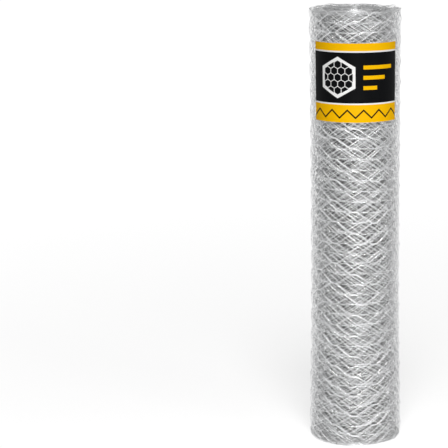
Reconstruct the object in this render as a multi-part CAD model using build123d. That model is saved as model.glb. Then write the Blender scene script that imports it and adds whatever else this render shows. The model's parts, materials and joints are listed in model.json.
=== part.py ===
from build123d import *

import os
from math import degrees

# Roll of hexagonal wire netting (chicken wire) standing on its end, with a printed card on its front.
# Millimetres. +Z runs up the roll's axis, the origin is the centre of the lower end, the card faces -Y.

# Roll: one length of netting wound tight round a mandrel that has been drawn out.
roll_height = 1500.0
bore_radius = 30.0

# The edge wires build up thicker than the mesh between them, so the roll flares from its waist to both ends.
waist_radius = 147.5
bottom_flare = 8.5
top_flare = 3.0
waist_height_share = 0.45
bottom_radius = waist_radius + bottom_flare
top_radius = waist_radius + top_flare

# The turns stand out on both ends as rings, several turns to a ring, with a groove between rings.
ring_count = 14
groove_width = 2.6
groove_depth = 4.0

# The outer turns are tucked in where the roll stands on them, and hardly at all on the upper end.
lower_round = 15.0
upper_round = 3.0

# Card: a printed sheet bent round the outermost turn, below the upper edge of the roll.
card_width = 324.0
card_height = 264.0
card_thickness = 0.6
card_drop = 111.0
card_clearance = 0.3


def end_outline(end_radius, edge_round, face_height, inward):
    """Points across one end, from the bore out to the rounded edge, with the grooves between rings."""
    ring_pitch = (end_radius - edge_round - bore_radius) / ring_count
    points = [(bore_radius, face_height)]
    for ring in range(1, ring_count):
        groove_radius = bore_radius + ring * ring_pitch
        points.append((groove_radius - groove_width / 2, face_height))
        points.append((groove_radius, face_height + inward * groove_depth))
        points.append((groove_radius + groove_width / 2, face_height))
    points.append((end_radius - edge_round, face_height))
    return points


def side_points(standoff):
    """Lower end, waist and upper end of the roll's outer side, moved outwards by a standoff."""
    return [
        (bottom_radius + standoff, lower_round),
        (waist_radius + standoff, waist_height_share * roll_height),
        (top_radius + standoff, roll_height - upper_round),
    ]


def netting_roll():
    """The wound netting as one turned solid: bore, ringed ends, rounded edges and a waisted side."""
    lower = end_outline(bottom_radius, lower_round, 0, 1)
    upper = end_outline(top_radius, upper_round, roll_height, -1)
    with BuildPart() as roll:
        with BuildSketch(Plane.XZ):
            with BuildLine():
                Polyline(*lower)
                CenterArc((bottom_radius - lower_round, lower_round), lower_round, -90, 90)
                Spline(*side_points(0))
                CenterArc((top_radius - upper_round, roll_height - upper_round), upper_round, 0, 90)
                Polyline(*reversed(upper))
                Line(upper[0], lower[0])
            make_face()
        revolve(axis=Axis.Z)
    return roll.part


def label_card():
    """The card as a sheet of even thickness that follows the roll's side, centred on -Y."""
    card_top = roll_height - card_drop
    seat_radius = waist_radius + card_clearance
    wrap_angle = degrees(card_width / seat_radius)
    inner = side_points(card_clearance)
    outer = side_points(card_clearance + card_thickness)
    widest = max(bottom_radius, waist_radius, top_radius) + card_clearance + card_thickness
    with BuildPart() as card:
        with BuildSketch(Plane.XZ):
            with BuildLine():
                Spline(*inner)
                Line(inner[-1], outer[-1])
                Spline(*reversed(outer))
                Line(outer[0], inner[0])
            make_face()
            with Locations((widest, card_top - card_height / 2)):
                Rectangle(2 * widest, card_height, mode=Mode.INTERSECT)
        revolve(axis=Axis.Z, revolution_arc=wrap_angle)
    return card.part.rotate(Axis.Z, -90 - wrap_angle / 2)


def main():
    os.makedirs("parts", exist_ok=True)
    export_step(netting_roll(), "parts/netting_roll.step")
    export_step(label_card(), "parts/label_card.step")


main()
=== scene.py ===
import json
import math

import bpy
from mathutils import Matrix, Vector


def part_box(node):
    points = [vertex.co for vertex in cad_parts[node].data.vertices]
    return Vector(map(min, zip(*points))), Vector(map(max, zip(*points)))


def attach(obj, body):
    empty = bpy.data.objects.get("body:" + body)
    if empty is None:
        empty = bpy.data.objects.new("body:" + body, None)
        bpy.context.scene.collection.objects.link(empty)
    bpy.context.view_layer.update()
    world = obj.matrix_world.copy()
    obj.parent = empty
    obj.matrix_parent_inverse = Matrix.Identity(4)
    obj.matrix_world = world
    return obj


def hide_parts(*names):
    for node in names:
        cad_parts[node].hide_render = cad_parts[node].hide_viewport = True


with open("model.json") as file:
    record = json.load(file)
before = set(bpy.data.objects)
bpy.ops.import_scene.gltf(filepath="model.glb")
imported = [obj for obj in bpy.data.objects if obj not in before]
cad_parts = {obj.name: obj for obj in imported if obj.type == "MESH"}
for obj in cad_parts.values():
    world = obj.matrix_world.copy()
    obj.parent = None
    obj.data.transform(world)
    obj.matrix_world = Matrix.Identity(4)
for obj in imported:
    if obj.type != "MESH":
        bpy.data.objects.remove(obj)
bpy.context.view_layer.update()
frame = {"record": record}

# Roll and card, in metres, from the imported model

_, roll_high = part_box("netting_roll")
card_low, card_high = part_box("label_card")
bore = next(mount for mount in frame["record"]["mounts"] if mount["name"] == "bore")

ROLL_HEIGHT = roll_high.z
BORE_RADIUS = bore["dims"]["r_mm"] / 1000
BOTTOM_FLARE = 0.0085
TOP_FLARE = 0.003
WAIST_RADIUS = roll_high.x - BOTTOM_FLARE
WAIST_HEIGHT_SHARE = 0.45
WAIST_HEIGHT = WAIST_HEIGHT_SHARE * ROLL_HEIGHT
TUCK_HEIGHT = 0.055
TUCK_DEPTH = 0.008

# Netting: one sheet of hexagonal mesh, with its sizes as it lies flat

NETTING_LENGTH = 50.0
WIRE_RADIUS = 0.0008
WIRE_SIDES = 3
ROW_COUNT = 42
EDGE_MARGIN = 0.004
ROW_PITCH = (ROLL_HEIGHT - 2 * EDGE_MARGIN) / ROW_COUNT
TWIST_LENGTH = 0.021
TWIST_TURNS = 1.5
SLANT_ANGLE = math.radians(35)
SLANT_RUN = ROW_PITCH / math.tan(SLANT_ANGLE)
COLUMN_PITCH = TWIST_LENGTH + SLANT_RUN
EDGE_WIRE_STEP = 0.014

# Zinc, with painted shade: the zinc's own colour on the outer turns, darkening with painted shade between
# two depths, and a set share of that shade on both ends.
# A noise is given by its scale and its detail.

UNSHADED_DEPTH = 0.010
FULL_SHADE_DEPTH = 0.040
UPPER_END_UNSHADED_SHARE = 0.5
LOWER_END_UNSHADED_SHARE = 0.6
STRAND_TONE = "strand_tone"
STRAND_SHARE = 0.8
TONE_SEED = 8
PATCH_NOISE = (55.0, 3.0)
SPECK_NOISE = (900.0, 2.0)
PATCH_SHARE = 0.7
POLISH_RANGE = (0.35, 0.65)
WIRE_ROUGHNESS = (0.36, 0.24)
# The zinc's own colour, and its darker copy that paints shade on the deeper turns, each between two tones
ZINC_UNSHADED = ((0.74, 0.745, 0.75, 1), (0.98, 0.985, 0.99, 1))
ZINC_PAINTED_SHADE = ((0.32, 0.323, 0.326, 1), (0.53, 0.534, 0.538, 1))

# Winding: turns closer together towards the core, the outer few slack, the cut end at the back

OUTER_STANDOUT = 0.0090
OUTER_PITCH = 0.0017
SLACK_DEPTH = 0.0035
SLACK_TURNS = 1.2
CUT_END_ANGLE = math.radians(60)
CUT_END_LEAD = 0.020
STEPS_PER_TURN = 72

# Where the noise that lifts the turns is above this level, a turn stops short of the upper end
FULL_HEIGHT_LEVEL = 0.31
NOISE_MIDDLE = 0.5

# Stretches of the sheet from the cut end inwards:
# share of the length, steps in a twist, steps in a slant, sides of the wire
STRETCHES = {
    "netting_outermost_turns": (0.055, 5, 3, 4),
    "netting_outer_turns": (0.055, 5, 3, 4),
    "netting_middle_turns": (0.195, 3, 2, 3),
    "netting_inner_turns": (0.24, 2, 2, 3),
    "netting_deep_turns": (0.25, 1, 2, 3),
    "netting_core_turns": (0.205, 1, 2, 3),
}

# Card: a printed sheet bent round the roll, which holds the turns under it down

CARD_HALF_ANGLE = math.asin(card_high.x / -card_low.y)
CARD_WIDTH = 2 * CARD_HALF_ANGLE * WAIST_RADIUS
CARD_HEIGHT = card_high.z - card_low.z
CARD_THICKNESS = 0.0006
CARD_COLUMNS = 66
CARD_ROWS = 44
CARD_HOLD_DEPTH = 3 * WIRE_RADIUS

# Places of the card's two materials
PRINTED = 0
BARE = 1

# Print on the card, from its lower left corner

LOWER_BAND = 0.060
UPPER_BAND = 0.026
RULE_WIDTH = 0.005
ZIGZAG_LOW = 0.016
ZIGZAG_HIGH = 0.042
ZIGZAG_PITCH = 0.054
ZIGZAG_LINE = 0.007
EMBLEM_CENTRE = (0.102, 0.150)
EMBLEM_REACH = 0.060
EMBLEM_RING = 0.009
MESH_REACH = 0.0125
MESH_LINE = 0.0022
BAR_LEFT = 0.188
BAR_THICKNESS = 0.013

# Bars: height of the middle line, length
BARS = ((0.184, 0.108), (0.150, 0.078), (0.116, 0.048))

# Inks and the bare board: where two shades are given, the colour varies between them

INK_BLACK = ((0.0008, 0.001, 0.0014, 1), (0.003, 0.0034, 0.004, 1))
INK_YELLOW = ((0.87, 0.465, 0.0005, 1), (0.97, 0.52, 0.001, 1))
INK_WHITE = (0.86, 0.86, 0.85, 1)
BARE_BOARD = ((0.70, 0.69, 0.66, 1), (0.84, 0.83, 0.80, 1))
MOTTLE_NOISE = (260.0, 3.0)
PRINT_ROUGHNESS = (0.38, 0.52)
PRINT_GLOSS = 0.04
GRAIN_STRENGTH = 0.1
GRAIN_DEPTH = 0.0003
RUBBED_EDGE = 0.005
RUBBED_POWER = 3.0
FIBRE_NOISE = (700.0, 4.0)
BOARD_ROUGHNESS = 0.8

# Camera and light

IMAGE_SIZE = 448
ROLL_PIXEL_X = 355.4
CAMERA_DISTANCE = 5.6
CAMERA_HEIGHT = 1.93
CAMERA_TILT = math.radians(11.88)
CAMERA_LENS = 133.4
SENSOR_WIDTH = 36.0
FLOOR_SIZE = 80.0
FLOOR_GREY = (0.6, 0.6, 0.6, 1)
FLOOR_ROUGHNESS = 0.9
WHITE = (1, 1, 1, 1)
GLOW_DIP = 0.34
GLOW_REACH = 3.5
WORLD_LIGHT = 0.1
WORLD_SHOWN = 1.0

# Soft boxes: place, point aimed at, width and height, watts
SOFT_BOXES = {
    "top_box": ((0.2, -3.5, 6.5), (0.0, 0.0, 0.6), (2.2, 3.0), 226),
    "front_box": ((0.15, -2.6, 1.1), (0.0, 0.0, 0.6), (0.8, 2.0), 8),
    "right_box": ((2.9, -2.4, 1.2), (0.0, 0.0, 0.6), (0.7, 2.0), 14),
    "low_box": ((0.1, -2.0, 0.35), (0.0, 0.0, 0.3), (1.4, 0.5), 20),
}


# Node helpers


def add_node(tree, kind, inputs=None, **settings):
    """Adds a node, sets its properties, then links or fills its inputs by name or number."""
    node = tree.nodes.new(kind)
    for name, value in settings.items():
        setattr(node, name, value)
    for key, value in (inputs or {}).items():
        items = value if isinstance(value, list) else [value]
        for item in items:
            if isinstance(item, bpy.types.NodeSocket):
                tree.links.new(item, node.inputs[key])
            else:
                node.inputs[key].default_value = item
    return node


def maths(tree, operation, *values):
    return add_node(tree, "ShaderNodeMath", dict(enumerate(values)), operation=operation).outputs[0]


def times(tree, first, second):
    return maths(tree, "MULTIPLY", first, second)


def plus(tree, first, second):
    return maths(tree, "ADD", first, second)


def minus(tree, first, second):
    return maths(tree, "SUBTRACT", first, second)


def any_of(tree, *shares):
    total = shares[0]
    for share in shares[1:]:
        total = maths(tree, "MAXIMUM", total, share)
    return total


def map_range(tree, value, from_range=(0.0, 1.0), to_range=(0.0, 1.0)):
    """A value moved from one range to another and held within it."""
    return add_node(tree, "ShaderNodeMapRange", {
        "Value": value,
        "From Min": from_range[0],
        "From Max": from_range[1],
        "To Min": to_range[0],
        "To Max": to_range[1],
    }).outputs[0]


def noise(tree, vector, scale, detail):
    return add_node(tree, "ShaderNodeTexNoise", {
        "Vector": vector, "Scale": scale, "Detail": detail}).outputs["Fac"]


def vector_of(tree, x=0.0, y=0.0, z=0.0):
    return add_node(tree, "ShaderNodeCombineXYZ", {"X": x, "Y": y, "Z": z}).outputs[0]


def parts_of(tree, vector):
    return add_node(tree, "ShaderNodeSeparateXYZ", {0: vector}).outputs


def vector_maths(tree, operation, result, inputs):
    return add_node(tree, "ShaderNodeVectorMath", inputs, operation=operation).outputs[result]


def point_position(tree):
    return parts_of(tree, add_node(tree, "GeometryNodeInputPosition").outputs[0])


def new_geometry_tree(name, inputs):
    """A geometry tree with one geometry output and inputs given as (name, kind, default)."""
    tree = bpy.data.node_groups.new(name, "GeometryNodeTree")
    tree.interface.new_socket("Geometry", in_out="OUTPUT", socket_type="NodeSocketGeometry")
    for label, kind, default in inputs:
        socket = tree.interface.new_socket(label, in_out="INPUT", socket_type="NodeSocket" + kind)
        if default is not None:
            socket.default_value = default
    return tree, add_node(tree, "NodeGroupInput").outputs


def close_tree(tree, geometry):
    add_node(tree, "NodeGroupOutput", {"Geometry": geometry})
    return tree


def new_object(name, data):
    made = bpy.data.objects.new(name, data)
    bpy.context.scene.collection.objects.link(made)
    return made


def mesh_from_tree(name, tree, values):
    """Runs a tree, with its inputs set by identifier, and keeps a plain mesh of the result."""
    carrier = new_object(name + "_carrier", bpy.data.meshes.new(name + "_carrier"))
    modifier = carrier.modifiers.new("tree", "NODES")
    modifier.node_group = tree
    for item in tree.interface.items_tree:
        if item.in_out == "INPUT" and item.name in values:
            modifier[item.identifier] = values[item.name]
    evaluated = carrier.evaluated_get(bpy.context.evaluated_depsgraph_get())
    mesh = bpy.data.meshes.new_from_object(evaluated)
    mesh.name = name
    carrier.modifiers.remove(modifier)
    bpy.data.objects.remove(carrier)
    return new_object(name, mesh)


# Paths that the wires follow


def path_object(name, lines):
    """A mesh of open lines, one for each list of points."""
    points = []
    edges = []
    for line in lines:
        first = len(points)
        points += line
        edges += [(first + i, first + i + 1) for i in range(len(line) - 1)]
    mesh = bpy.data.meshes.new(name)
    mesh.from_pydata(points, edges, [])
    return new_object(name, mesh)


def winding_points():
    """The sheet's line round the axis, from its cut end on the outside to the bore, and its length."""
    outer = WAIST_RADIUS + OUTER_STANDOUT
    tight = outer - SLACK_DEPTH
    inner = BORE_RADIUS + 2 * WIRE_RADIUS
    # The pitch shrinks evenly towards the core, over as many turns as take up the whole length
    mean = (2 * tight + inner) / 3
    turns = (mean - math.sqrt(mean ** 2 - OUTER_PITCH * NETTING_LENGTH / (3 * math.pi))) * 3 / OUTER_PITCH
    growth = 2 * (tight - inner - OUTER_PITCH * turns) / turns ** 2
    points = []
    wound = 0.0
    for step in range(int(turns * STEPS_PER_TURN)):
        turn = step / STEPS_PER_TURN
        slack = SLACK_DEPTH * math.exp(-turn / SLACK_TURNS)
        radius = tight + slack - OUTER_PITCH * turn - growth * turn ** 2 / 2
        angle = CUT_END_ANGLE + 2 * math.pi * turn
        points.append((radius * math.cos(angle), radius * math.sin(angle), 0.0))
        wound += 2 * math.pi * radius / STEPS_PER_TURN
    return points, wound


def strand_points(side, twist_steps, slant_steps, coil_radius, leaves):
    """One wire of a knot: its half of the twist, then its slant to the next row if it leaves this one."""
    points = []
    for step in range(twist_steps + 1):
        share = step / twist_steps
        angle = math.pi * (2 * TWIST_TURNS * share + 0.5)
        across = side * coil_radius * math.cos(angle)
        up = side * coil_radius * math.sin(angle)
        points.append(((share - 0.5) * TWIST_LENGTH, across, up))
    if leaves:
        along, _, up = points[-1]
        rise = math.copysign(ROW_PITCH, up) - 2 * up
        for step in range(1, slant_steps + 1):
            share = step / slant_steps
            points.append((along + share * SLANT_RUN, 0.0, up + share * rise))
    return points


def knot_object(name, twist_steps, slant_steps, rises=True, falls=True):
    """The two wires of one twist. On an edge row one of them stops, and both go round the edge wire."""
    coil_radius = WIRE_RADIUS if rises and falls else 2 * WIRE_RADIUS
    return path_object(name, [
        strand_points(1, twist_steps, slant_steps, coil_radius, falls),
        strand_points(-1, twist_steps, slant_steps, coil_radius, rises),
    ])


# Winding tree: bends flat netting on to the roll

WINDING_INPUTS = [
    ("Winding Path", "Object", None),
    ("Start Length", "Float", 0.0),
    ("Row Wander", "Float", 0.026),
    ("Edge Wander Share", "Float", 0.25),
    ("Edge Depth", "Float", 0.10),
    ("Length Wander", "Float", 0.010),
    ("Sink", "Float", 0.001),
    ("Slack Sink", "Float", 0.0015),
    ("Slack Length", "Float", 2.5),
    ("Wander Scale", "Float", 5.0),
    ("Turn Change", "Float", 0.03),
    ("Turn Shift", "Float", 0.008),
    ("Edge Shift", "Float", 0.06),
    ("Full Height Share", "Float", 0.8),
    ("Turn Shift Scale", "Float", 5.0),
    ("Turn Shift Seed", "Float", 6.6),
    ("Press Share", "Float", 0.05),
    ("Press Slope", "Float", 0.35),
    ("Kink", "Float", 0.001),
    ("Slack Kink", "Float", 0.0015),
    ("Kink Scale", "Float", 40.0),
    ("Seed", "Float", 3.7),
]


def flare_at(tree, height):
    """How far the outermost turn stands out from the waist at a height, less its tuck at the lower edge."""
    below = maths(tree, "MAXIMUM", minus(tree, WAIST_HEIGHT, height), 0.0)
    above = maths(tree, "MAXIMUM", minus(tree, height, WAIST_HEIGHT), 0.0)
    low = maths(tree, "POWER", maths(tree, "DIVIDE", below, WAIST_HEIGHT), 2.0)
    high = maths(tree, "POWER", maths(tree, "DIVIDE", above, ROLL_HEIGHT - WAIST_HEIGHT), 2.0)
    flare = plus(tree, times(tree, low, BOTTOM_FLARE), times(tree, high, TOP_FLARE))
    drop = map_range(tree, height, (0.0, TUCK_HEIGHT), (1.0, 0.0))
    arc = minus(tree, 1.0, maths(tree, "SQRT", minus(tree, 1.0, times(tree, drop, drop))))
    return minus(tree, flare, times(tree, arc, TUCK_DEPTH))


def spring_beside_card(tree, given, spot, height):
    """How far a turn has sprung back from the card's edge: nothing under the card, more further from it."""
    across = parts_of(tree, spot)
    turned = maths(tree, "ARCTAN2", across["X"], times(tree, across["Y"], -1.0))
    beside = times(tree, minus(tree, maths(tree, "ABSOLUTE", turned), CARD_HALF_ANGLE), WAIST_RADIUS)
    over = maths(tree, "MAXIMUM", minus(tree, card_low.z, height), minus(tree, height, card_high.z))
    outside = maths(tree, "MAXIMUM", maths(tree, "MAXIMUM", over, beside), 0.0)
    return times(tree, outside, given["Press Slope"])


def held_by_card(tree, given, spot, height, reach, flare):
    """How far a turn reaches from the axis: held down under the card, and springing back beside it."""
    under_card = plus(tree, flare, WAIST_RADIUS - CARD_HOLD_DEPTH)
    limit = plus(tree, under_card, spring_beside_card(tree, given, spot, height))
    held = plus(tree, limit, times(tree, minus(tree, reach, limit), given["Press Share"]))
    return maths(tree, "MINIMUM", reach, held)


def path_sampler(tree, given):
    """A function that gives the point at a length along the winding path."""
    path = add_node(tree, "GeometryNodeObjectInfo", {"Object": given["Winding Path"]})
    curve = add_node(tree, "GeometryNodeMeshToCurve", {"Mesh": path.outputs["Geometry"]})

    def on_path(length):
        return add_node(tree, "GeometryNodeSampleCurve", {
            "Curves": curve.outputs[0], "Length": length}, mode="LENGTH").outputs["Position"]

    return on_path


def sheet_noises(tree, given, length, up, direction):
    """The slow drift of the mesh, the small bends of its wires, and how much each turn is lifted."""
    # The drift is much alike in turns that lie close together
    on_side = vector_maths(tree, "SCALE", "Vector", {0: direction, "Scale": WAIST_RADIUS})
    on_roll = vector_maths(tree, "ADD", "Vector", {0: on_side, 1: vector_of(tree, z=up)})
    drift = add_node(tree, "ShaderNodeTexNoise", {
        "Vector": on_roll,
        "W": plus(tree, given["Seed"], times(tree, length, given["Turn Change"])),
        "Scale": given["Wander Scale"],
        "Detail": 1.0,
    }, noise_dimensions="4D").outputs["Color"]
    bend = add_node(tree, "ShaderNodeTexNoise", {
        "Vector": vector_of(tree, length, given["Seed"], up),
        "Scale": given["Kink Scale"],
        "Detail": 0.0,
    }).outputs["Color"]
    lift = add_node(tree, "ShaderNodeTexNoise", {
        "W": plus(tree, length, given["Turn Shift Seed"]),
        "Scale": given["Turn Shift Scale"],
        "Detail": 1.0,
    }, noise_dimensions="1D").outputs["Fac"]
    return parts_of(tree, drift), parts_of(tree, bend), lift


def wandered(tree, given, place, drift, bend, amount):
    """A place moved by an amount of the slow drift and by the small bends."""
    slow = times(tree, minus(tree, drift, NOISE_MIDDLE), amount)
    quick = times(tree, minus(tree, bend, NOISE_MIDDLE), given["Kink"])
    return plus(tree, place, plus(tree, slow, quick))


def turn_shift(tree, given, lift, slackness, upper_edge):
    """How far a turn lies above its place. At the upper end, turns under the outermost stop short."""
    all_over = times(tree, minus(tree, lift, NOISE_MIDDLE), given["Turn Shift"])
    short = times(tree, minus(tree, FULL_HEIGHT_LEVEL, lift), given["Edge Shift"])
    under_outermost = minus(tree, 1.0, times(tree, slackness, given["Full Height Share"]))
    return plus(tree, all_over, times(tree, upper_edge, times(tree, short, under_outermost)))


def sunk_depth(tree, given, drift, bend, slackness):
    """How far a wire has sunk towards the axis, unevenly, and most on the slack outer turns."""
    slow_depth = plus(tree, given["Sink"], times(tree, slackness, given["Slack Sink"]))
    quick_depth = plus(tree, given["Kink"], times(tree, slackness, given["Slack Kink"]))
    return plus(tree, times(tree, drift, slow_depth), times(tree, bend, quick_depth))


def winding_tree():
    """Moves flat netting, with its length along X and its height along Z, to its place on the roll."""
    tree, given = new_geometry_tree("wind_onto_roll", [("Geometry", "Geometry", None)] + WINDING_INPUTS)
    flat = point_position(tree)
    length = plus(tree, flat["X"], given["Start Length"])
    on_path = path_sampler(tree, given)
    direction = vector_maths(tree, "NORMALIZE", "Vector", {0: on_path(length)})
    drift, bend, lift = sheet_noises(tree, given, length, flat["Z"], direction)

    # Slackness is one at the cut end and fades along the sheet
    fade = maths(tree, "DIVIDE", times(tree, length, -1.0), given["Slack Length"])
    slackness = maths(tree, "EXPONENT", fade)

    # Near the edges of the sheet the rows wander less
    near_edge = (0.0, given["Edge Depth"])
    lower_edge = map_range(tree, flat["Z"], near_edge, (1.0, 0.0))
    upper_edge = map_range(tree, minus(tree, ROLL_HEIGHT, flat["Z"]), near_edge, (1.0, 0.0))
    steady = times(tree, plus(tree, lower_edge, upper_edge), minus(tree, 1.0, given["Edge Wander Share"]))
    row_wander = times(tree, minus(tree, 1.0, steady), given["Row Wander"])
    shifted = plus(tree, flat["Z"], turn_shift(tree, given, lift, slackness, upper_edge))
    along = wandered(tree, given, length, drift["X"], bend["X"], given["Length Wander"])
    up = wandered(tree, given, shifted, drift["Z"], bend["Z"], row_wander)
    height = maths(tree, "MAXIMUM", up, WIRE_RADIUS)

    # The roll flares towards its ends, and the outer turns more than the inner ones
    spot = on_path(along)
    sunk = sunk_depth(tree, given, drift["Y"], bend["Y"], slackness)
    radius = minus(tree, vector_maths(tree, "LENGTH", "Value", {0: spot}), sunk)
    outward_share = maths(tree, "DIVIDE", minus(tree, radius, BORE_RADIUS), WAIST_RADIUS - BORE_RADIUS)
    flare = flare_at(tree, height)
    flared = plus(tree, radius, times(tree, outward_share, flare))

    held = held_by_card(tree, given, spot, height, flared, flare)
    outwards = vector_maths(tree, "NORMALIZE", "Vector", {0: spot})
    ring = vector_maths(tree, "SCALE", "Vector", {0: outwards, "Scale": plus(tree, held, flat["Y"])})
    wound = vector_maths(tree, "ADD", "Vector", {0: ring, 1: vector_of(tree, z=height)})
    placed = add_node(tree, "GeometryNodeSetPosition", {"Geometry": given["Geometry"], "Position": wound})
    return close_tree(tree, placed.outputs[0])


def stored(tree, geometry, name, value, kind, domain):
    """Geometry with a value stored on it under a name."""
    return add_node(tree, "GeometryNodeStoreNamedAttribute", {
        "Geometry": geometry, "Name": name, "Value": value}, data_type=kind, domain=domain).outputs[0]


def wound_and_finished(tree, given, winding, flat_mesh, flat_length):
    """The tail of both trees: stores a flat map and a tone for each strand, then winds and finishes."""
    flat = point_position(tree)
    across = maths(tree, "DIVIDE", flat["X"], flat_length)
    up = maths(tree, "DIVIDE", flat["Z"], ROLL_HEIGHT)
    mapped = stored(tree, flat_mesh, "OFBake", vector_of(tree, across, up), "FLOAT2", "CORNER")
    strand = add_node(tree, "GeometryNodeInputMeshIsland").outputs["Island Index"]
    tone = add_node(tree, "FunctionNodeRandomValue", {"ID": strand, "Seed": TONE_SEED}, data_type="FLOAT")
    toned = stored(tree, mapped, STRAND_TONE, tone.outputs[1], "FLOAT", "POINT")
    wind = add_node(tree, "GeometryNodeGroup", node_tree=winding)
    tree.links.new(toned, wind.inputs["Geometry"])
    for label, _, _ in WINDING_INPUTS:
        tree.links.new(given[label], wind.inputs[label])
    smooth = add_node(tree, "GeometryNodeSetShadeSmooth", {"Geometry": wind.outputs[0]})
    finish = add_node(tree, "GeometryNodeSetMaterial", {
        "Geometry": smooth.outputs[0], "Material": given["Wire Finish"]})
    return close_tree(tree, finish.outputs[0])


def wire_along(tree, given, curve):
    section = add_node(tree, "GeometryNodeCurvePrimitiveCircle", {
        "Resolution": given["Wire Sides"], "Radius": given["Wire Radius"]})
    return add_node(tree, "GeometryNodeCurveToMesh", {
        "Curve": curve, "Profile Curve": section.outputs["Curve"], "Fill Caps": True}).outputs[0]


def grid_points(tree, given):
    """The points of a standing grid of rows and columns, with its lower corner at the stretch's start."""
    wide = times(tree, minus(tree, given["Columns"], 1.0), given["Column Pitch"])
    high = times(tree, given["Rows"], given["Row Pitch"])
    grid = add_node(tree, "GeometryNodeMeshGrid", {
        "Size X": wide,
        "Size Y": high,
        "Vertices X": given["Columns"],
        "Vertices Y": plus(tree, given["Rows"], 1.0),
    })
    spot = point_position(tree)
    along = plus(tree, spot["X"], times(tree, wide, 0.5))
    up = plus(tree, spot["Y"], times(tree, high, 0.5))
    stood = vector_of(tree, along, 0.0, plus(tree, up, given["Lowest Row"]))
    return add_node(tree, "GeometryNodeSetPosition", {
        "Geometry": grid.outputs["Mesh"], "Position": stood}).outputs[0]


def knot_places(tree, given):
    """Which points of the grid hold each kind of knot. Every other point holds one."""
    # A point's row and column are read back from its place
    at = point_position(tree)
    column = maths(tree, "ROUND", maths(tree, "DIVIDE", at["X"], given["Column Pitch"]))
    above_lowest = minus(tree, at["Z"], given["Lowest Row"])
    row = maths(tree, "ROUND", maths(tree, "DIVIDE", above_lowest, given["Row Pitch"]))
    count = plus(tree, plus(tree, column, given["First Column"]), row)
    has_knot = maths(tree, "LESS_THAN", maths(tree, "MODULO", count, 2.0), 0.5)
    lowest = maths(tree, "LESS_THAN", row, 0.5)
    highest = maths(tree, "GREATER_THAN", row, minus(tree, given["Rows"], 0.5))
    between = minus(tree, 1.0, plus(tree, lowest, highest))
    return {
        "Knot": times(tree, has_knot, between),
        "Lower Edge Knot": times(tree, has_knot, lowest),
        "Upper Edge Knot": times(tree, has_knot, highest),
    }


def netting_tree(winding):
    """A stretch of netting: knots on every other point of a grid, wound on to the roll."""
    tree, given = new_geometry_tree("netting_stretch", WINDING_INPUTS + [
        ("Knot", "Object", None),
        ("Lower Edge Knot", "Object", None),
        ("Upper Edge Knot", "Object", None),
        ("First Column", "Int", 0),
        ("Columns", "Int", 2),
        ("Rows", "Int", ROW_COUNT),
        ("Row Pitch", "Float", ROW_PITCH),
        ("Column Pitch", "Float", COLUMN_PITCH),
        ("Lowest Row", "Float", EDGE_MARGIN),
        ("Wire Radius", "Float", WIRE_RADIUS),
        ("Wire Sides", "Int", WIRE_SIDES),
        ("Wire Finish", "Material", None),
    ])
    points = grid_points(tree, given)
    knots = []
    for label, places in knot_places(tree, given).items():
        lines = add_node(tree, "GeometryNodeObjectInfo", {"Object": given[label]})
        curves = add_node(tree, "GeometryNodeMeshToCurve", {"Mesh": lines.outputs["Geometry"]})
        knots.append(add_node(tree, "GeometryNodeInstanceOnPoints", {
            "Points": points,
            "Selection": places,
            "Instance": wire_along(tree, given, curves.outputs[0]),
        }).outputs[0])
    joined = add_node(tree, "GeometryNodeJoinGeometry", {"Geometry": knots})
    real = add_node(tree, "GeometryNodeRealizeInstances", {"Geometry": joined.outputs[0]})
    flat_length = times(tree, given["Columns"], given["Column Pitch"])
    return wound_and_finished(tree, given, winding, real.outputs[0], flat_length)


def edge_wire_tree(winding):
    """The straight wires along both edges of the sheet, wound on to the roll."""
    tree, given = new_geometry_tree("edge_wires", WINDING_INPUTS + [
        ("Length", "Float", NETTING_LENGTH),
        ("Step", "Float", EDGE_WIRE_STEP),
        ("Lower Edge", "Float", EDGE_MARGIN),
        ("Upper Edge", "Float", ROLL_HEIGHT - EDGE_MARGIN),
        ("Wire Radius", "Float", WIRE_RADIUS),
        ("Wire Sides", "Int", WIRE_SIDES),
        ("Wire Finish", "Material", None),
    ])
    wires = []
    for edge in ("Lower Edge", "Upper Edge"):
        line = add_node(tree, "GeometryNodeCurvePrimitiveLine", {
            "Start": vector_of(tree, z=given[edge]),
            "End": vector_of(tree, given["Length"], 0.0, given[edge]),
        })
        steps = add_node(tree, "GeometryNodeResampleCurve", {
            "Curve": line.outputs[0], "Length": given["Step"]}, mode="LENGTH")
        wires.append(wire_along(tree, given, steps.outputs[0]))
    joined = add_node(tree, "GeometryNodeJoinGeometry", {"Geometry": wires})
    real = add_node(tree, "GeometryNodeRealizeInstances", {"Geometry": joined.outputs[0]})
    return wound_and_finished(tree, given, winding, real.outputs[0], given["Length"])


# Materials


def new_material(name):
    """A new material, its node tree and its shader."""
    material = bpy.data.materials.new(name)
    material.use_nodes = True
    tree = material.node_tree
    return material, tree, tree.nodes["Principled BSDF"]


def mixed(tree, share, first, second):
    # Sockets 6 and 7, and output 2, are the node's colours
    return add_node(tree, "ShaderNodeMix", {
        "Factor": share, 6: first, 7: second}, data_type="RGBA").outputs[2]


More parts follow.
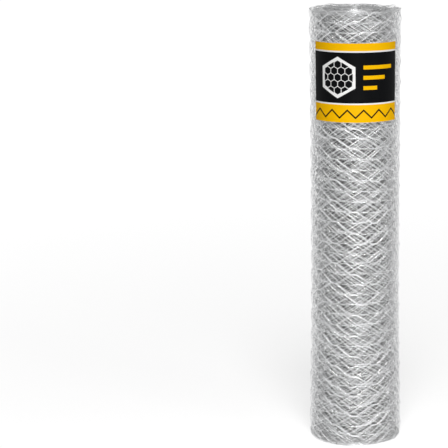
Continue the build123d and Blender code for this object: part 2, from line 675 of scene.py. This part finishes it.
def galvanised_wire_with_painted_shade():
    """Zinc-coated wire: each strand has its own tone, with duller patches and fine specks. Painted shade
    darkens the deeper turns, and the wire near both ends takes a set share of it.
    """
    material, tree, shader = new_material("galvanised_wire_and_painted_shade")
    place = add_node(tree, "ShaderNodeTexCoord").outputs["Object"]
    strand = add_node(tree, "ShaderNodeAttribute", attribute_name=STRAND_TONE).outputs["Fac"]
    patches = noise(tree, place, *PATCH_NOISE)
    specks = noise(tree, place, *SPECK_NOISE)
    blend = plus(tree, times(tree, patches, PATCH_SHARE), times(tree, specks, 1 - PATCH_SHARE))
    polish = map_range(tree, blend, POLISH_RANGE)
    tone = plus(tree, times(tree, strand, STRAND_SHARE), times(tree, polish, 1 - STRAND_SHARE))
    unshaded_zinc = mixed(tree, tone, *ZINC_UNSHADED)
    painted_shade_zinc = mixed(tree, tone, *ZINC_PAINTED_SHADE)

    # Painted shade: the colour darkens with depth below the outer turns, and near both ends it takes a set
    # share of that shade
    spot = parts_of(tree, place)
    from_axis = vector_maths(tree, "LENGTH", "Value", {0: vector_of(tree, spot["X"], spot["Y"])})
    unshaded_share = map_range(tree, from_axis, (WAIST_RADIUS - FULL_SHADE_DEPTH, WAIST_RADIUS - UNSHADED_DEPTH))
    for end, inward, share in ((0.0, 1, LOWER_END_UNSHADED_SHARE), (ROLL_HEIGHT, -1, UPPER_END_UNSHADED_SHARE)):
        near_end = map_range(tree, spot["Z"], (end + inward * FULL_SHADE_DEPTH, end + inward * UNSHADED_DEPTH))
        on_side = times(tree, minus(tree, 1.0, near_end), unshaded_share)
        unshaded_share = plus(tree, on_side, times(tree, near_end, share))
    tree.links.new(mixed(tree, unshaded_share, painted_shade_zinc, unshaded_zinc), shader.inputs["Base Color"])
    rough = map_range(tree, polish, to_range=WIRE_ROUGHNESS)
    tree.links.new(rough, shader.inputs["Roughness"])
    shader.inputs["Metallic"].default_value = 1.0
    return material


def hexagon_reach(tree, x, y):
    """How far a point is from a hexagon's centre, measured square to the hexagon's sides."""
    wide = maths(tree, "ABSOLUTE", x)
    high = maths(tree, "ABSOLUTE", y)
    side_turn = math.radians(60)
    slant = plus(tree, times(tree, wide, math.cos(side_turn)), times(tree, high, math.sin(side_turn)))
    return maths(tree, "MAXIMUM", wide, slant)


def within(tree, value, low, high):
    return times(tree, maths(tree, "GREATER_THAN", value, low), maths(tree, "LESS_THAN", value, high))


def mesh_lines(tree, x, y):
    """Lines of a hexagonal mesh: the nearer of two sets of cells, each laid out in a rectangle."""
    span = (2 * MESH_REACH, 2 * math.sqrt(3) * MESH_REACH)
    reaches = []
    for move in (0.0, 0.5):
        column = maths(tree, "WRAP", plus(tree, x, move * span[0]), span[0] / 2, -span[0] / 2)
        row = maths(tree, "WRAP", plus(tree, y, move * span[1]), span[1] / 2, -span[1] / 2)
        reaches.append(hexagon_reach(tree, column, row))
    nearest = maths(tree, "MINIMUM", *reaches)
    return maths(tree, "GREATER_THAN", nearest, MESH_REACH - MESH_LINE / 2)


def print_shares(tree, x, y):
    """Where the print is yellow, where it is white, and where the yellow is overprinted black."""
    lower = maths(tree, "LESS_THAN", y, LOWER_BAND)
    upper = maths(tree, "GREATER_THAN", y, CARD_HEIGHT - UPPER_BAND)
    yellow = any_of(tree, lower, upper)
    for middle, length in BARS:
        high = within(tree, y, middle - BAR_THICKNESS / 2, middle + BAR_THICKNESS / 2)
        yellow = any_of(tree, yellow, times(tree, high, within(tree, x, BAR_LEFT, BAR_LEFT + length)))

    emblem_x = minus(tree, x, EMBLEM_CENTRE[0])
    emblem_y = minus(tree, y, EMBLEM_CENTRE[1])
    reach = hexagon_reach(tree, emblem_x, emblem_y)
    ring = within(tree, reach, EMBLEM_REACH - EMBLEM_RING, EMBLEM_REACH)
    inside = maths(tree, "LESS_THAN", reach, EMBLEM_REACH - EMBLEM_RING)
    mesh = times(tree, inside, mesh_lines(tree, emblem_x, emblem_y))
    lower_rule = within(tree, y, LOWER_BAND, LOWER_BAND + RULE_WIDTH)
    upper_rule = within(tree, y, CARD_HEIGHT - UPPER_BAND - RULE_WIDTH, CARD_HEIGHT - UPPER_BAND)
    white = any_of(tree, ring, mesh, lower_rule, upper_rule)

    slope = 2 * (ZIGZAG_HIGH - ZIGZAG_LOW) / ZIGZAG_PITCH
    climb = times(tree, maths(tree, "PINGPONG", x, ZIGZAG_PITCH / 2), slope)
    off_line = maths(tree, "ABSOLUTE", minus(tree, minus(tree, y, ZIGZAG_LOW), climb))
    zigzag = maths(tree, "LESS_THAN", off_line, ZIGZAG_LINE / 2)
    return yellow, white, zigzag


def printed_face():
    """Card print: yellow bands and bars, a white hexagon of mesh and a black zigzag, on a black ground."""
    material, tree, shader = new_material("card_print")
    place = parts_of(tree, add_node(tree, "ShaderNodeUVMap", uv_map="card_flat").outputs[0])
    x = times(tree, place["X"], CARD_WIDTH)
    y = times(tree, place["Y"], CARD_HEIGHT)
    yellow, white, zigzag = print_shares(tree, x, y)
    flat = vector_of(tree, x, y)
    mottle = noise(tree, flat, *MOTTLE_NOISE)
    ink_black = mixed(tree, mottle, *INK_BLACK)
    ink_yellow = mixed(tree, mottle, *INK_YELLOW)
    colour = mixed(tree, yellow, ink_black, ink_yellow)
    colour = mixed(tree, white, colour, INK_WHITE)
    colour = mixed(tree, zigzag, colour, ink_black)

    # Ink is rubbed off in places along the cut edges
    to_side = maths(tree, "MINIMUM", x, minus(tree, CARD_WIDTH, x))
    to_end = maths(tree, "MINIMUM", y, minus(tree, CARD_HEIGHT, y))
    to_edge = maths(tree, "MINIMUM", to_side, to_end)
    rubbed_depth = times(tree, maths(tree, "POWER", mottle, RUBBED_POWER), RUBBED_EDGE)
    rubbed = maths(tree, "LESS_THAN", to_edge, rubbed_depth)
    colour = mixed(tree, rubbed, colour, BARE_BOARD[0])
    tree.links.new(colour, shader.inputs["Base Color"])
    rough = map_range(tree, mottle, to_range=PRINT_ROUGHNESS)
    tree.links.new(rough, shader.inputs["Roughness"])
    shader.inputs["Specular IOR Level"].default_value = PRINT_GLOSS
    grain = add_node(tree, "ShaderNodeBump", {
        "Height": mottle, "Strength": GRAIN_STRENGTH, "Distance": GRAIN_DEPTH})
    tree.links.new(grain.outputs[0], shader.inputs["Normal"])
    return material


def card_stock():
    """Bare board on the card's back and cut edges."""
    material, tree, shader = new_material("card_stock")
    place = add_node(tree, "ShaderNodeTexCoord").outputs["Object"]
    fibre = noise(tree, place, *FIBRE_NOISE)
    tree.links.new(mixed(tree, fibre, *BARE_BOARD), shader.inputs["Base Color"])
    shader.inputs["Roughness"].default_value = BOARD_ROUGHNESS
    return material


# Pieces


def wound_netting(finish):
    """The stretches of the sheet and its edge wires, each one a plain mesh."""
    points, wound_length = winding_points()
    path = path_object("winding_path", [points])
    winding = winding_tree()
    netting = netting_tree(winding)
    common = {"Winding Path": path, "Wire Finish": finish}
    column_count = int((wound_length - 2 * CUT_END_LEAD) / COLUMN_PITCH)
    pieces = []
    first_column = 0
    for name, (share, twist_steps, slant_steps, sides) in STRETCHES.items():
        columns = int(share * column_count)
        knots = {
            "Knot": knot_object("knot", twist_steps, slant_steps),
            "Lower Edge Knot": knot_object("lower_edge_knot", twist_steps, slant_steps, falls=False),
            "Upper Edge Knot": knot_object("upper_edge_knot", twist_steps, slant_steps, rises=False),
        }
        pieces.append(mesh_from_tree(name, netting, common | knots | {
            "First Column": first_column,
            "Columns": columns,
            "Start Length": CUT_END_LEAD + first_column * COLUMN_PITCH,
            "Wire Sides": sides,
        }))
        for knot in knots.values():
            bpy.data.objects.remove(knot)
        first_column += columns
    pieces.append(mesh_from_tree("netting_edge_wires", edge_wire_tree(winding), common | {
        "Length": first_column * COLUMN_PITCH,
    }))
    bpy.data.objects.remove(path)
    return pieces


def side_radius(height):
    """Radius of the roll's outermost turn at a height."""
    if height < WAIST_HEIGHT:
        return WAIST_RADIUS + BOTTOM_FLARE * ((WAIST_HEIGHT - height) / WAIST_HEIGHT) ** 2
    return WAIST_RADIUS + TOP_FLARE * ((height - WAIST_HEIGHT) / (ROLL_HEIGHT - WAIST_HEIGHT)) ** 2


def card_points():
    """Points of the card's front and then of its back, and each point's place on the flat card."""
    standoff = -card_low.y - side_radius(card_high.z)
    points = []
    flat_places = []
    for depth in (0.0, CARD_THICKNESS):
        for row in range(CARD_ROWS + 1):
            height = card_low.z + CARD_HEIGHT * row / CARD_ROWS
            radius = side_radius(height) + standoff - depth
            for column in range(CARD_COLUMNS + 1):
                angle = CARD_HALF_ANGLE * (2 * column / CARD_COLUMNS - 1)
                points.append((radius * math.sin(angle), -radius * math.cos(angle), height))
                flat_places.append((column / CARD_COLUMNS, row / CARD_ROWS))
    return points, flat_places


def card_rim(stride):
    """Points round the edge of the card's front, in order."""
    rim = list(range(stride))
    rim += [row * stride + CARD_COLUMNS for row in range(1, CARD_ROWS + 1)]
    rim += [CARD_ROWS * stride + column for column in range(CARD_COLUMNS - 1, -1, -1)]
    rim += [row * stride for row in range(CARD_ROWS - 1, 0, -1)]
    return rim


def card_faces():
    """Faces of the card's front, back and cut edge, and which material each one takes."""
    stride = CARD_COLUMNS + 1
    back = stride * (CARD_ROWS + 1)
    faces = []
    finishes = []
    for row in range(CARD_ROWS):
        for column in range(CARD_COLUMNS):
            low = row * stride + column
            quad = (low, low + 1, low + stride + 1, low + stride)
            faces.append(quad)
            finishes.append(PRINTED)
            faces.append(tuple(back + corner for corner in reversed(quad)))
            finishes.append(BARE)
    rim = card_rim(stride)
    for here, there in zip(rim, rim[1:] + rim[:1]):
        faces.append((there, here, back + here, back + there))
        finishes.append(BARE)
    return faces, finishes


def printed_card(print_finish, stock_finish):
    """A thin bent sheet with a printed front, on the front of the roll."""
    points, flat_places = card_points()
    faces, finishes = card_faces()
    mesh = bpy.data.meshes.new("printed_card")
    mesh.from_pydata(points, [], faces)
    layer = mesh.uv_layers.new(name="card_flat")
    for loop in mesh.loops:
        layer.data[loop.index].uv = flat_places[loop.vertex_index]
    mesh.materials.append(print_finish)
    mesh.materials.append(stock_finish)
    mesh.polygons.foreach_set("material_index", finishes)
    return new_object("printed_card", mesh)


# Studio


def shown_rays(tree):
    """One for rays from the camera, reflected rays and rays let through, and nothing for the rest."""
    rays = add_node(tree, "ShaderNodeLightPath").outputs
    return any_of(tree, rays["Is Camera Ray"], rays["Is Glossy Ray"], rays["Is Transmission Ray"])


def studio_floor():
    """A pale floor that glows for the camera and in reflections, less so near the roll."""
    half = FLOOR_SIZE / 2
    corners = [(-half, -half, 0), (half, -half, 0), (half, half, 0), (-half, half, 0)]
    mesh = bpy.data.meshes.new("studio_floor")
    mesh.from_pydata(corners, [], [(0, 1, 2, 3)])
    material, tree, shader = new_material("studio_white")
    shader.inputs["Base Color"].default_value = FLOOR_GREY
    shader.inputs["Roughness"].default_value = FLOOR_ROUGHNESS
    shader.inputs["Specular IOR Level"].default_value = 0.0
    place = add_node(tree, "ShaderNodeTexCoord").outputs["Object"]
    away = vector_maths(tree, "LENGTH", "Value", {0: place})
    spread = maths(tree, "POWER", maths(tree, "DIVIDE", away, GLOW_REACH), 2.0)
    glow = minus(tree, 1.0, maths(tree, "DIVIDE", GLOW_DIP, plus(tree, 1.0, spread)))
    shader.inputs["Emission Color"].default_value = WHITE
    tree.links.new(times(tree, shown_rays(tree), glow), shader.inputs["Emission Strength"])
    mesh.materials.append(material)
    floor = new_object("studio_floor", mesh)


def studio_world():
    """Even light, with a white background for the camera and for reflections."""
    world = bpy.data.worlds.new("studio_world")
    bpy.context.scene.world = world
    world.use_nodes = True
    tree = world.node_tree
    strength = plus(tree, WORLD_LIGHT, times(tree, shown_rays(tree), WORLD_SHOWN - WORLD_LIGHT))
    background = tree.nodes["Background"]
    background.inputs["Color"].default_value = WHITE
    tree.links.new(strength, background.inputs["Strength"])


def soft_box(name, place, aim, size, watts):
    """A rectangular lamp aimed at a point."""
    lamp = bpy.data.lights.new(name, "AREA")
    lamp.shape = "RECTANGLE"
    lamp.size, lamp.size_y = size
    lamp.energy = watts
    box = new_object(name, lamp)
    box.location = place
    box.rotation_euler = (Vector(aim) - Vector(place)).to_track_quat("-Z", "Y").to_euler()


def studio_camera():
    """A camera whose frame is shifted sideways, so that the roll stands at its pixel column."""
    lens = bpy.data.cameras.new("studio_camera")
    lens.lens = CAMERA_LENS
    lens.sensor_width = SENSOR_WIDTH
    lens.shift_x = (IMAGE_SIZE / 2 - ROLL_PIXEL_X) / IMAGE_SIZE
    camera = new_object("studio_camera", lens)
    camera.location = (0, -CAMERA_DISTANCE, CAMERA_HEIGHT)
    camera.rotation_euler = (math.pi / 2 - CAMERA_TILT, 0, 0)
    bpy.context.scene.camera = camera


def main():
    for piece in wound_netting(galvanised_wire_with_painted_shade()):
        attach(piece, "root")
        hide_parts("netting_roll")
    card = printed_card(printed_face(), card_stock())
    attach(card, "root")
    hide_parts("label_card")
    studio_floor()
    studio_world()
    for name, (place, aim, size, watts) in SOFT_BOXES.items():
        soft_box(name, place, aim, size, watts)
    studio_camera()
    bpy.context.scene.view_settings.view_transform = "Standard"


main()
